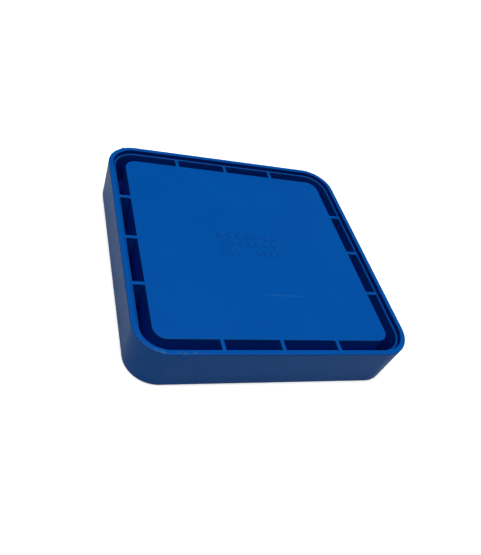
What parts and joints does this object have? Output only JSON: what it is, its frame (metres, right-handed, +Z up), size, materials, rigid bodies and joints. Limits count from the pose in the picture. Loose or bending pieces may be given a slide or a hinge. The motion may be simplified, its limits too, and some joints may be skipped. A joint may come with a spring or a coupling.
{
  "type": "cryogenic storage box",
  "caption": "Low-profile cryogenic storage box: a rimmed, ribbed lid telescopes over a walled base with a divider grid of slotted strips.",
  "frame": {"origin": "centre of the footprint, on the surface that the box stands on", "axes": "+Z up, the way the lid lifts; X and Y along the sides of the square"},
  "size_m": [0.133, 0.133, 0.0235],
  "materials": {
    "lid_plastic": "moulded blue polypropylene, satin",
    "base_plastic": "moulded blue polypropylene, satin",
    "divider_plastic": "natural white polypropylene sheet"
  },
  "bodies": {
    "base": {"base": "base_plastic", "divider_strip_x1": "divider_plastic", "divider_strip_x2": "divider_plastic", "divider_strip_x3": "divider_plastic", "divider_strip_x4": "divider_plastic", "divider_strip_x5": "divider_plastic", "divider_strip_x6": "divider_plastic", "divider_strip_x7": "divider_plastic", "divider_strip_x8": "divider_plastic", "divider_strip_x9": "divider_plastic", "divider_strip_y1": "divider_plastic", "divider_strip_y2": "divider_plastic", "divider_strip_y3": "divider_plastic", "divider_strip_y4": "divider_plastic", "divider_strip_y5": "divider_plastic", "divider_strip_y6": "divider_plastic", "divider_strip_y7": "divider_plastic", "divider_strip_y8": "divider_plastic", "divider_strip_y9": "divider_plastic"},
    "lid": {"lid": "lid_plastic"}
  },
  "joints": [
    {"name": "lid_lift", "type": "slide", "parent": "base", "child": "lid", "axis": [0, 0, 1], "range_m": [0, 0.06]}
  ]
}
